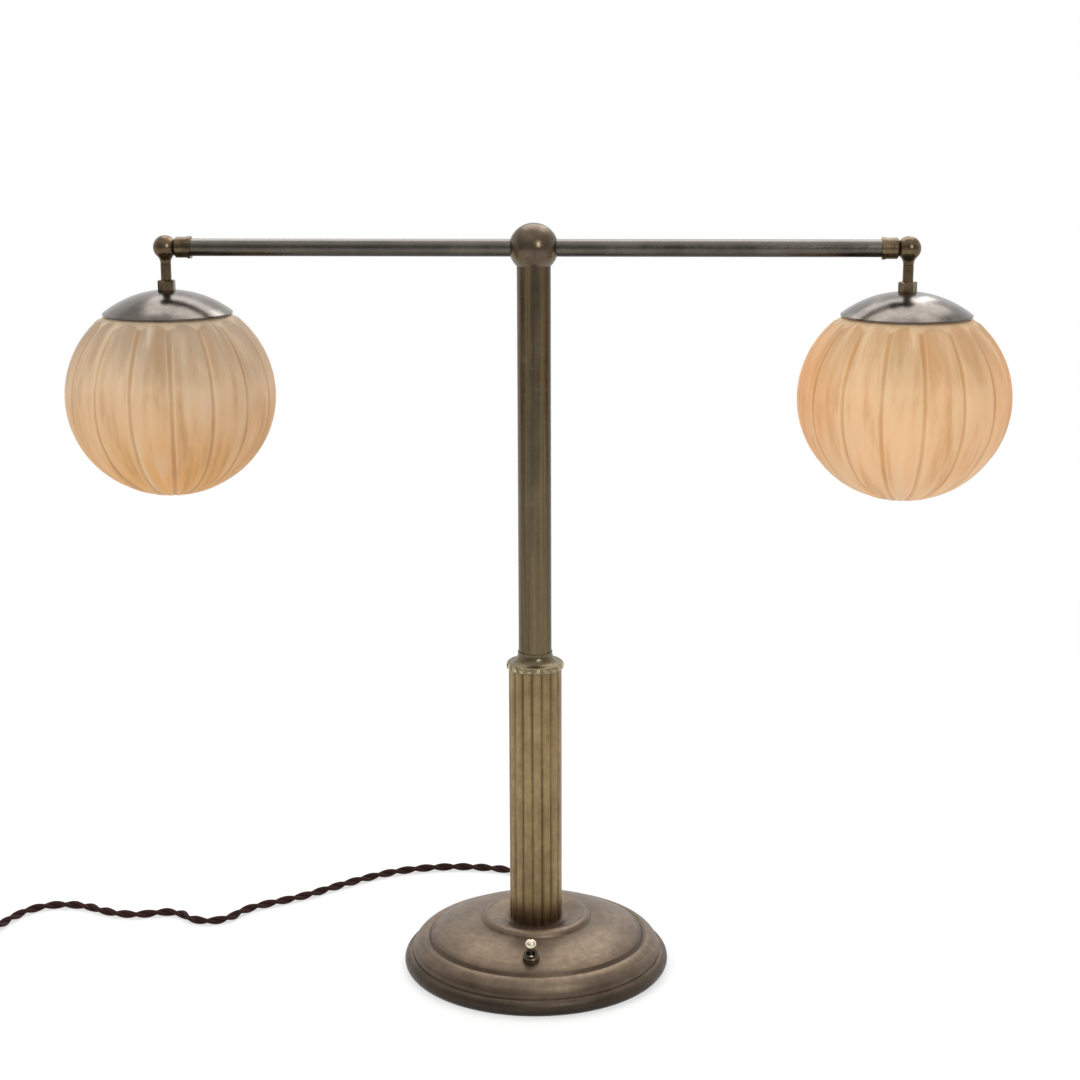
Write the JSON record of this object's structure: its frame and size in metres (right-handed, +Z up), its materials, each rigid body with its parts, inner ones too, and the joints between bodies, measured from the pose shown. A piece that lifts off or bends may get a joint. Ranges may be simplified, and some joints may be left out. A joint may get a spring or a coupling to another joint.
{
  "type": "desk lamp",
  "caption": "Desk lamp with a domed round base, a reeded column and a plain post; its level arms each end in a swivelling elbow, a shallow cap and a ribbed frosted globe.",
  "frame": {"origin": "centre of the base's underside, on the surface that the lamp stands on", "axes": "+Z up, +X along the arms towards the lamp's right as seen from the switch side, -Y towards the switch"},
  "size_m": [0.8676, 0.2852, 0.5545],
  "materials": {
    "aged_brass": "satin",
    "column_brass": "satin",
    "post_brass": "satin",
    "raw_brass": "satin",
    "cast_iron": "rough",
    "steel": "satin",
    "baize": "matte",
    "nickel": "polished",
    "switch_casing": "matte",
    "dark_metal": "satin",
    "lever_metal": "polished",
    "bush_rubber": "matte",
    "terminal_plastic": "matte",
    "flex_rubber": "matte",
    "cord_cloth": "woven",
    "tie_rubber": "matte",
    "plug_plastic": "satin",
    "ceramic_body": "gloss",
    "bulb_metal": "satin",
    "bulb_white": "frosted",
    "left_frosted_glass": "frosted",
    "right_frosted_glass": "frosted"
  },
  "bodies": {
    "root": {"base_shell": "aged_brass", "base_weight": "cast_iron", "base_plate": "steel", "baize_pad": "baize", "plate_screws": "steel", "tie_tube": "steel", "lock_washer": "steel", "lock_nut": "raw_brass", "reeded_column": "column_brass", "centring_rings": "steel", "collar": "column_brass", "post": "post_brass", "post_bushes": "raw_brass", "top_ball": "post_brass", "ball_nipple": "raw_brass", "arm_nipples": "raw_brass", "grub_screws": "steel", "switch_body": "switch_casing", "switch_ring_nut": "dark_metal", "cable_bush": "bush_rubber", "terminal_block": "terminal_plastic", "cord_clamp": "terminal_plastic", "stem_flexes": "flex_rubber", "base_wires": "flex_rubber", "cord_free": "cord_cloth", "cord_coil": "cord_cloth", "cord_tie": "tie_rubber", "plug_body": "plug_plastic", "plug_pins": "raw_brass", "left_arm": "post_brass", "left_ferrule": "post_brass", "right_arm": "post_brass", "right_ferrule": "post_brass"},
    "left_head": {"left_elbow": "post_brass", "left_neck": "post_brass", "left_coupling_nut": "post_brass", "left_cap": "nickel", "left_globe_springs": "steel", "left_lock_ring": "raw_brass", "left_lampholder": "raw_brass", "left_lampholder_insert": "ceramic_body", "left_socket_sleeve": "raw_brass", "left_bulb_cap": "bulb_metal", "left_bulb_glass": "bulb_white", "left_globe": "left_frosted_glass", "left_head_flex": "flex_rubber"},
    "right_head": {"right_elbow": "post_brass", "right_neck": "post_brass", "right_coupling_nut": "post_brass", "right_cap": "nickel", "right_globe_springs": "steel", "right_lock_ring": "raw_brass", "right_lampholder": "raw_brass", "right_lampholder_insert": "ceramic_body", "right_socket_sleeve": "raw_brass", "right_bulb_cap": "bulb_metal", "right_bulb_glass": "bulb_white", "right_globe": "right_frosted_glass", "right_head_flex": "flex_rubber"},
    "switch_lever": {"switch_lever": "lever_metal"}
  },
  "joints": [
    {"name": "left_elbow_swivel", "type": "hinge", "parent": "root", "child": "left_head", "pos_m": [-0.261, 0, 0.537], "axis": [1, 0, 0], "range_deg": [-90, 90]},
    {"name": "right_elbow_swivel", "type": "hinge", "parent": "root", "child": "right_head", "pos_m": [0.261, 0, 0.537], "axis": [1, 0, 0], "range_deg": [-90, 90]},
    {"name": "switch_toggle", "type": "hinge", "parent": "root", "child": "switch_lever", "pos_m": [0, -0.06787, 0.0342], "axis": [1, 0, 0], "range_deg": [0, 24]}
  ]
}
